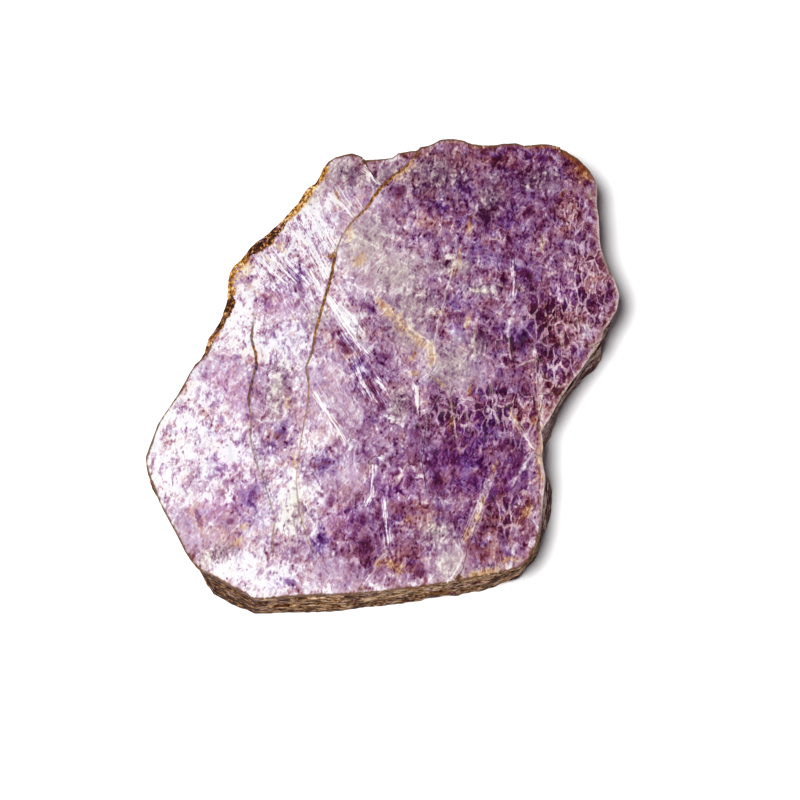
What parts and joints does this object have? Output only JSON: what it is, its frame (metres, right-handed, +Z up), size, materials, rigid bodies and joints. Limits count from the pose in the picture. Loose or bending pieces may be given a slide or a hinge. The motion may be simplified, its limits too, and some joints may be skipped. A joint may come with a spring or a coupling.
{
  "type": "mica crystal",
  "caption": "Flat slab of purple lepidolite mica with a ragged edge of stacked sheets and a cracked, stepped cleavage face.",
  "frame": {"origin": "on the surface that the slab lies on, under the middle of its box", "axes": "+Z up, across the sheets; X to the right and Y to the back, seen from the front edge with the upper cleavage face in view"},
  "size_m": [0.0648, 0.0686, 0.007],
  "materials": {
    "lepidolite": "purple mica with a pearly cleavage face, pale veils, rust in the cracks and a brown laminated edge"
  },
  "bodies": {
    "root": {"mica_crystal": "lepidolite"}
  },
  "joints": []
}
